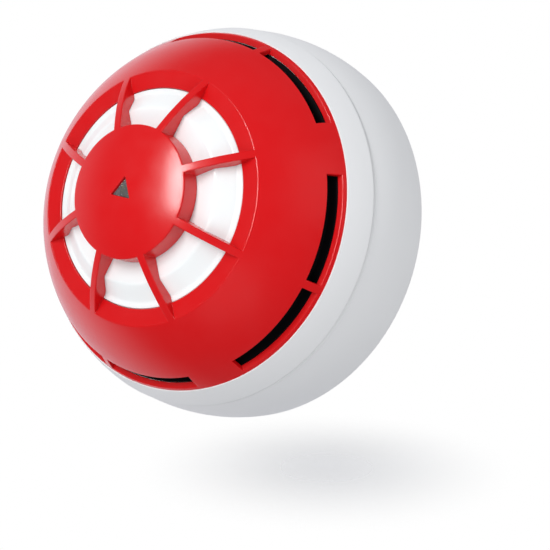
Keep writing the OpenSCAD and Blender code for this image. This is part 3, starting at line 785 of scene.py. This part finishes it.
    def slot_cell(self) -> Array:
        """The skin round one sound slot, over its edge, through the wall and back along the inside.

        Returns:
            Rows of loops in the cell's own axes, with the rib at +half.
        """
        e = self.slot_ease
        middle_r = float(self.outer.reach((self.slot_low_z + self.slot_high_z) / 2))
        near = self.half - math.degrees(math.asin(self.rib_w / 2 / middle_r))
        far = self.half - self.slot_span
        side_e, tall_e = math.degrees(e / middle_r), e * middle_r / self.outer.radius
        collar_z, collar_in_z = (float(ball.height(self.collar_r)) for ball in (self.outer, self.inner))
        border = self.slot_loop(self.half, -self.half, self.rim_z + self.rim_ease, collar_z)
        lip = self.slot_loop(near + side_e, far - side_e, self.slot_low_z - tall_e, self.slot_high_z + tall_e)
        hole = self.slot_loop(near, far, self.slot_low_z, self.slot_high_z)
        inside = self.slot_loop(self.half, -self.half, self.rim_z, collar_in_z)
        skin = self.on_ball(blended(border, lip, self.slot_skin_steps), self.outer)
        over = eased(skin[-1], self.on_ball(hole, self.outer), self.on_ball(hole, self.outer, e))
        through = blended(over[-1], self.on_ball(hole, self.inner), self.slot_wall_steps)[1:]
        back = self.on_ball(blended(hole, inside, self.slot_back_steps), self.inner)[1:]
        return np.concatenate([skin, over, through, back])

    def cap(self) -> Array:
        """The centre cap: from its border to the triangular window, through it, and back along the
        inside down to the foot of the skirt.

        Returns:
            Rows of circles.
        """
        n = self.across_cap * self.cells
        degrees = self.phase + np.arange(n) * 360.0 / n
        a = np.radians(degrees)
        skirt_r = self.cap_r - self.skirt_t
        e, corner_deg = self.window_ease, self.phase + 60

        def circle(r: Array | float) -> Array:
            """Points in plan at a distance r in each direction."""
            return np.stack([r * np.cos(a), r * np.sin(a)], -1)

        border = circle(skirt_r)
        lip = circle(triangle_reach(degrees, self.window_inner + e, corner_deg))
        hole = circle(triangle_reach(degrees, self.window_inner, corner_deg))
        top = self.raised(blended(border, lip, self.cap_skin_steps), self.outer.height)
        edge = self.raised(hole, self.outer.height)
        over = eased(top[-1], edge, edge - np.array([0.0, 0.0, e]))
        wall_foot = self.raised(hole, self.inner.height)
        wall = blended(over[-1], wall_foot, self.cap_wall_steps)[1:]
        under = self.raised(blended(hole, border, self.skin_steps), self.inner.height)[1:]
        foot = np.concatenate([border, np.full((n, 1), self.underside[0][1])], -1)
        skirt = blended(under[-1], foot, self.wall_steps)[1:]
        return np.concatenate([top, over, wall, under, skirt])

    def rim(self) -> Array:
        """The rim's rounded lower edge and its flat foot.

        Returns:
            Rows of circles.
        """
        n = self.across_land * self.cells
        a = self.phase + np.arange(n) * 360.0 / n
        low = np.stack([a, np.full(n, self.rim_z)], -1)
        lip = self.on_ball(low + np.array([0.0, self.rim_ease]), self.outer)
        edge = self.on_ball(low, self.outer)
        foot = self.on_ball(low, self.outer, self.rim_ease)
        return np.concatenate([lip[None], eased(lip, edge, foot), self.on_ball(low, self.inner)[None]])

    def post(self) -> Array:
        """A screw post under the shell: a tube whose top follows the middle of the wall.

        Returns:
            Rows of circles, centred post_at_r out on the x axis.
        """
        a = np.linspace(0, 2 * math.pi, self.round_post, endpoint=False)
        buried = Ball(self.outer.radius - self.wall / 2, self.outer.centre_z)

        def circle(r: float) -> Array:
            """Points in plan on a circle round the post's centre."""
            return np.stack([self.post_at_r + r * np.cos(a), r * np.sin(a)], -1)

        wide, narrow = circle(self.post_r), circle(self.post_hole_r)
        low = np.full((len(a), 1), self.post_low_z)
        return np.stack([
            np.concatenate([wide, low], -1), self.raised(wide, buried.height),
            self.raised(narrow, buried.height), np.concatenate([narrow, low], -1),
        ])

    def land(self) -> Patch:
        """The flat land round the windows, a ring with a rounded inner edge.

        Returns:
            Its surface.
        """
        buried_r = self.land_r - self.ease / 2
        outline = rounded([
            (self.window_r, self.land_z, self.ease), (buried_r, self.land_z, 0),
            (buried_r, self.land_low_z, 0), (self.window_r, self.land_low_z, 0)])
        return revolved(outline, self.across_land * self.cells)

    def build(self) -> bpy.types.Object:
        """Welds the cap, the cells, the rim, the land and the posts into one piece.

        Returns:
            The dome.
        """
        window, slot = self.window_cell(), self.slot_cell()
        patches = [grid_patch(self.cap()), grid_patch(self.rim()), self.land()]
        for k in range(self.cells):
            at = self.phase + self.half + k * 2 * self.half
            patches.append(grid_patch(turned(window, at)))
            patches.append(grid_patch(turned(slot if k % 2 == 0 else mirrored(slot), at)))
        for k in range(self.posts):
            at = self.phase + self.half + k * 360 / self.posts
            patches.append(grid_patch(turned(self.post(), at), close=True))
        return mesh_piece("red_dome_shell", patches)


@dataclass
class Lens:
    """The opal lens: a flat front, a sloping flank and a flange that the dome clamps."""

    front_z: float = 62.4
    front_r: float = 26.6
    foot_r: float = 31.4
    foot_z: float = 58.2
    rim_r: float = 33.2
    flange_r: float = 37.0
    flange_z: float = 56.0
    flange_low_z: float = 54.9
    wall: float = 1.7
    bore_r: float = 2.7
    flank_in_r: float = 30.5
    flank_in_z: float = 56.8
    front_in_r: float = 25.9
    crisp: float = 0.1
    rim_ease: float = 0.2
    inner_ease: float = 0.3
    foot_ease: float = 0.5
    front_ease: float = 0.7
    segments: int = 288

    def build(self) -> bpy.types.Object:
        """Carries the lens's rounded outline round the axis.

        Returns:
            The lens.
        """
        front_in_z = self.front_z - self.wall
        outline = rounded([
            (self.bore_r, self.front_z, self.crisp), (self.front_r, self.front_z, self.front_ease),
            (self.foot_r, self.foot_z, self.foot_ease), (self.rim_r, self.foot_z, self.rim_ease),
            (self.rim_r, self.flange_z, self.crisp), (self.flange_r, self.flange_z, self.crisp),
            (self.flange_r, self.flange_low_z, self.crisp), (self.foot_r, self.flange_low_z, self.crisp),
            (self.flank_in_r, self.flank_in_z, self.inner_ease),
            (self.front_in_r, front_in_z, self.foot_ease), (self.bore_r, front_in_z, self.crisp)])
        return mesh_piece("opal_lens_ring", [revolved(outline, self.segments)])


@dataclass
class LightPipe:
    """The clear pipe that carries the indicator's light to the triangular window."""

    low_z: float = 53.2
    stem_r: float = 2.4
    flange_r: float = 5.1
    flange_low_z: float = 68.2
    flange_z: float = 69.4
    head_z: float = 71.2
    head_inner: float = 1.96
    stem_ease: float = 0.2
    flange_ease: float = 0.1
    head_ease: float = 0.15
    corner_deg: float = 73.0
    segments: int = 120

    def build(self) -> bpy.types.Object:
        """Rows of circles up the stem and flange, which turn into the triangle of the head.

        Returns:
            The light pipe.
        """
        degrees = self.corner_deg + np.arange(self.segments) * 360 / self.segments
        a = np.radians(degrees)
        soft = triangle_reach(degrees, self.head_inner - self.head_ease, self.corner_deg)
        wide = triangle_reach(degrees, self.head_inner, self.corner_deg)
        whole = np.ones(self.segments)
        steps: list[tuple[Array, float]] = [
            (whole * 0, self.low_z), (whole * (self.stem_r - self.stem_ease), self.low_z),
            (whole * self.stem_r, self.low_z + self.stem_ease), (whole * self.stem_r, self.flange_low_z),
            (whole * (self.flange_r - self.flange_ease), self.flange_low_z),
            (whole * self.flange_r, self.flange_low_z + self.flange_ease),
            (whole * self.flange_r, self.flange_z - self.flange_ease),
            (whole * (self.flange_r - self.flange_ease), self.flange_z),
            (wide, self.flange_z), (wide, self.head_z - self.head_ease),
            ((wide + soft) / 2, self.head_z - 0.3 * self.head_ease),
            (soft, self.head_z), (soft / 2, self.head_z), (whole * 0, self.head_z)]
        rows = np.stack([
            np.stack([r * np.cos(a), r * np.sin(a), np.full_like(r, z)], -1) for r, z in steps])
        return mesh_piece("clear_light_pipe", [grid_patch(rows)])


# ---- studio ----

@dataclass(frozen=True)
class Softbox:
    """A rectangular lamp that faces the object. The direction is from the object, in the frame.
    A lamp that isn't mirrored lights the object but doesn't show in its gloss."""

    name: str
    towards: tuple[float, float, float]
    distance: float
    width: float
    height: float
    power: float
    mirrored: bool = True
    aim: tuple[float, float, float] = (0.0, -0.036, 0.0)


@dataclass(frozen=True)
class Grade:
    """A shade that changes along a direction, between two cosines with it."""

    towards: tuple[float, float, float]
    span: tuple[float, float]
    low: Colour
    high: Colour


@dataclass
class Studio:
    """The camera, the lamps, the white surroundings and a pale floor disc whose grey tint is a painted shadow
    under the object. Sizes in metres.
    """

    camera_at: tuple[float, float, float] = (0.31642, -0.48835, -0.11204)
    camera_right: tuple[float, float, float] = (0.84496, 0.53482, 0.0)
    camera_up: tuple[float, float, float] = (0.08788, -0.13885, 0.98641)
    lens_mm: float = 119.7
    sensor_mm: float = 36.0
    sight: tuple[float, float] = (0.01, 10.0)
    light: Grade = Grade((-0.45, 0.75, 0.48), (-0.7, 0.7), (0.36, 0.36, 0.37), (0.80, 0.81, 0.84))
    gloss: Grade = Grade((-0.86, 0.50, 0.05), (0.30, 0.95), (0.07, 0.07, 0.07), (0.95, 0.92, 1.0))
    floor_at: tuple[float, float, float] = (0.028, -0.003, -0.078)
    floor_up: tuple[float, float, float] = (0.196, -0.309, 0.931)
    floor_r: float = 0.12
    # The disc's grey tint is a painted shadow centred on floor_at: the radius where it fades out, its cover
    # in the middle and its colour.
    painted_shadow_fade_r: float = 0.06
    painted_shadow_cover: float = 0.48
    painted_shadow_colour: Colour = (0.46, 0.47, 0.50)
    floor_rough: float = 0.9
    floor_rings: int = 12
    floor_round: int = 96
    lamps: tuple[Softbox, ...] = (
        Softbox("front_strip", (0.0, -0.95, 0.25), 0.75, 0.10, 0.45, 3.4),
        Softbox("right_softbox", (0.95, -0.10, 0.20), 0.90, 0.60, 0.60, 2.2, mirrored=False),
        Softbox("overhead_softbox", (-0.50, -0.10, 0.86), 0.80, 0.40, 0.40, 0.4, mirrored=False),
        Softbox("low_fill", (0.25, -0.60, -0.75), 0.90, 0.60, 0.60, 2.4, mirrored=False),
    )

    def build_camera(self) -> None:
        """Places the camera and makes it the scene's."""
        data = bpy.data.cameras.new("camera")
        data.lens, data.sensor_width, data.sensor_fit = self.lens_mm, self.sensor_mm, "HORIZONTAL"
        data.clip_start, data.clip_end = self.sight
        camera = bpy.data.objects.new("camera", data)
        right, up = np.array(self.camera_right), np.array(self.camera_up)
        back = np.cross(right, up)
        turn = np.eye(4)
        turn[:3, 0], turn[:3, 1], turn[:3, 2], turn[:3, 3] = right, up, back, self.camera_at
        camera.matrix_world = Matrix(turn.tolist())
        bpy.context.scene.collection.objects.link(camera)
        bpy.context.scene.camera = camera

    def build_lamps(self) -> None:
        """Hangs each softbox and turns it towards the object."""
        for box in self.lamps:
            data = bpy.data.lights.new(box.name, "AREA")
            data.shape, data.size, data.size_y = "RECTANGLE", box.width, box.height
            data.energy = box.power
            lamp = bpy.data.objects.new(box.name, data)
            towards = Vector(box.towards).normalized()
            lamp.location = Vector(box.aim) + towards * box.distance
            lamp.rotation_mode = "QUATERNION"
            lamp.rotation_quaternion = towards.to_track_quat("Z", "Y")
            lamp.visible_camera, lamp.visible_glossy = False, box.mirrored
            bpy.context.scene.collection.objects.link(lamp)

    def build_world(self) -> None:
        """White to the eye. As a light it is brighter behind and above the object; in the gloss it is
        dark but for a pale wall on the left."""
        world = bpy.data.worlds.new("studio")
        bpy.context.scene.world = world
        world.use_nodes = True
        tree = world.node_tree
        tree.nodes.clear()
        out = tree.nodes.new("ShaderNodeOutputWorld")
        path = tree.nodes.new("ShaderNodeLightPath")
        plain = tree.nodes.new("ShaderNodeBackground")
        plain.inputs["Color"].default_value = (1, 1, 1, 1)
        light, gloss = self.graded(tree, self.light), self.graded(tree, self.gloss)
        lit, seen = tree.nodes.new("ShaderNodeMixShader"), tree.nodes.new("ShaderNodeMixShader")
        link = tree.links.new
        link(path.outputs["Is Glossy Ray"], lit.inputs[0])
        link(light, lit.inputs[1])
        link(gloss, lit.inputs[2])
        link(path.outputs["Is Camera Ray"], seen.inputs[0])
        link(lit.outputs[0], seen.inputs[1])
        link(plain.outputs[0], seen.inputs[2])
        link(seen.outputs[0], out.inputs["Surface"])

    @staticmethod
    def graded(tree: bpy.types.NodeTree, grade: Grade) -> bpy.types.NodeSocket:
        """A background that goes from one shade to another along a direction.

        Args:
            tree: the world's nodes.
            grade: the direction and the shades.

        Returns:
            The background's output.
        """
        place = tree.nodes.new("ShaderNodeTexCoord")
        dot = tree.nodes.new("ShaderNodeVectorMath")
        dot.operation = "DOT_PRODUCT"
        dot.inputs[1].default_value = grade.towards
        spread = tree.nodes.new("ShaderNodeMapRange")
        spread.interpolation_type = "SMOOTHSTEP"
        spread.inputs["From Min"].default_value, spread.inputs["From Max"].default_value = grade.span
        shade = tree.nodes.new("ShaderNodeMix")
        shade.data_type = "RGBA"
        shade.inputs["A"].default_value, shade.inputs["B"].default_value = (*grade.low, 1), (*grade.high, 1)
        back = tree.nodes.new("ShaderNodeBackground")
        link = tree.links.new
        link(place.outputs["Generated"], dot.inputs[0])
        link(dot.outputs["Value"], spread.inputs["Value"])
        link(spread.outputs["Result"], shade.inputs["Factor"])
        link(shade.outputs["Result"], back.inputs["Color"])
        return back.outputs[0]

    def build_floor(self) -> None:
        """A grey disc that leans towards the eye and fades out well inside its edge. Its tint, strongest in
        the middle, is a painted shadow under the object; the lamps' real shadow falls on it too.
        """
        up = np.array(self.floor_up) / np.linalg.norm(self.floor_up)
        side = np.cross([0.0, 1.0, 0.0], up)
        side /= np.linalg.norm(side)
        away = np.cross(up, side)
        a = np.linspace(0, 2 * math.pi, self.floor_round, endpoint=False)
        r = np.linspace(0, self.floor_r, self.floor_rings)[:, None]
        flat = (r * np.cos(a))[..., None] * side + (r * np.sin(a))[..., None] * away
        rows = flat + np.array(self.floor_at)
        patch = grid_patch(np.stack([rows[..., 0], rows[..., 2], -rows[..., 1]], -1) / MM)
        floor = mesh_piece("floor_painted_shadow", [patch])
        normals = np.zeros(len(floor.data.polygons) * 3, dtype=np.float32)
        floor.data.polygons.foreach_get("normal", normals)
        if normals.reshape(-1, 3)[:, 2].mean() < 0:
            floor.data.flip_normals()
        made = bpy.data.materials.new("floor_painted_shadow")
        made.use_nodes = True
        nodes, link = made.node_tree.nodes, made.node_tree.links.new
        shader = nodes["Principled BSDF"]
        # The grey base colour is the tone of the painted shadow.
        shader.inputs["Base Color"].default_value = (*self.painted_shadow_colour, 1)
        shader.inputs["Roughness"].default_value = self.floor_rough
        shader.inputs["Specular IOR Level"].default_value = 0.0
        place = nodes.new("ShaderNodeTexCoord")
        off = nodes.new("ShaderNodeVectorMath")
        off.operation = "DISTANCE"
        off.inputs[1].default_value = self.floor_at
        # The painted shadow thins out with distance from its middle.
        shadow_fade = nodes.new("ShaderNodeMapRange")
        shadow_fade.interpolation_type = "SMOOTHSTEP"
        shadow_fade.inputs["From Min"].default_value = 0.0
        shadow_fade.inputs["From Max"].default_value = self.painted_shadow_fade_r
        shadow_fade.inputs["To Min"].default_value = self.painted_shadow_cover
        shadow_fade.inputs["To Max"].default_value = 0.0
        facing = nodes.new("ShaderNodeNewGeometry")
        front = nodes.new("ShaderNodeMath")
        front.operation = "SUBTRACT"
        front.inputs[0].default_value = 1.0
        both = nodes.new("ShaderNodeMath")
        both.operation = "MULTIPLY"
        link(place.outputs["Object"], off.inputs[0])
        link(off.outputs["Value"], shadow_fade.inputs["Value"])
        link(facing.outputs["Backfacing"], front.inputs[1])
        link(front.outputs[0], both.inputs[0])
        link(shadow_fade.outputs["Result"], both.inputs[1])
        link(both.outputs[0], shader.inputs["Alpha"])
        floor.data.materials.append(made)
        floor.visible_shadow = False

    def build(self) -> None:
        """Sets up the whole studio."""
        self.build_camera()
        self.build_lamps()
        self.build_world()
        self.build_floor()
        view = bpy.context.scene.view_settings
        view.view_transform, view.look, view.exposure, view.gamma = "Standard", "None", 0.0, 1.0


class SounderStrobe:
    """The whole object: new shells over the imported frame, each piece in its finish."""

    def __init__(self) -> None:
        """Makes the paint shop and names the frame's nodes."""
        self.paint = Paint()
        self.nodes: dict[str, bpy.types.Object] = frame["nodes"]

    def stand_in(self, piece: bpy.types.Object, node: str, body: str, finish: Finish) -> None:
        """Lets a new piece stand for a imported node.

        Args:
            piece: the new piece.
            node: the node that it replaces.
            body: the body that it rides on.
            finish: its finish.
        """
        self.paint.dress(piece, finish)
        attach(piece, body)
        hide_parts(node)
        LOG.info("%s stands for %s", piece.name, node)

    def build(self) -> None:
        """Builds the new pieces and dresses the kept ones."""
        self.stand_in(RedDome().build(), "red_dome", "head", RED)
        self.stand_in(Lens().build(), "lens", "head", OPAL)
        self.stand_in(LightPipe().build(), "light_pipe", "head", CLEAR)
        for name, finish in KEPT.items():
            self.paint.dress(self.nodes[name], finish)
        LOG.info("%d kept nodes dressed", len(KEPT))


def main() -> None:
    """Builds the object, then the studio."""
    logging.basicConfig(level=logging.INFO, format="%(name)s: %(message)s")
    SounderStrobe().build()
    Studio().build()


if __name__ == "__main__":
    main()
